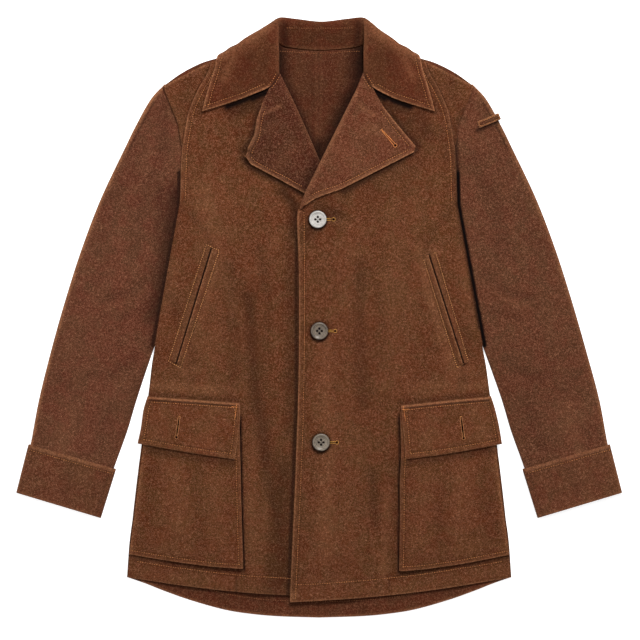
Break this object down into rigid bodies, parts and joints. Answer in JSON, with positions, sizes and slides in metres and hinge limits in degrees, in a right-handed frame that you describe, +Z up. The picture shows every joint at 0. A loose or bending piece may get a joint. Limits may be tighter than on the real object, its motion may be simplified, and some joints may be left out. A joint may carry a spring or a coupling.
{
  "type": "suede jacket",
  "caption": "Long-sleeved brown suede jacket laid flat on its back and buttoned, with a turned-down collar, lapels, slanted chest pockets and flapped patch pockets.",
  "frame": {"origin": "on the surface the jacket lies on, below the middle of its bounding box", "axes": "+X towards the wearer's left sleeve, +Y towards the collar, +Z up from the surface through the jacket's thickness"},
  "size_m": [0.8582, 0.8519, 0.0189],
  "materials": {
    "suede": "napped, matt",
    "button": "satin horn"
  },
  "bodies": {
    "root": {"back_left": "suede", "front_left": "suede", "yoke_left": "suede", "sleeve_left": "suede", "cuff_left": "suede", "lapel_left": "suede", "chest_lip_left_inner": "suede", "chest_lip_left_outer": "suede", "pocket_left": "suede", "flap_left": "suede", "back_right": "suede", "front_right": "suede", "yoke_right": "suede", "sleeve_right": "suede", "cuff_right": "suede", "lapel_right": "suede", "chest_lip_right_inner": "suede", "chest_lip_right_outer": "suede", "pocket_right": "suede", "flap_right": "suede", "collar": "suede", "sleeve_tab": "suede", "button_1": "button", "button_2": "button", "button_3": "button"}
  },
  "joints": []
}
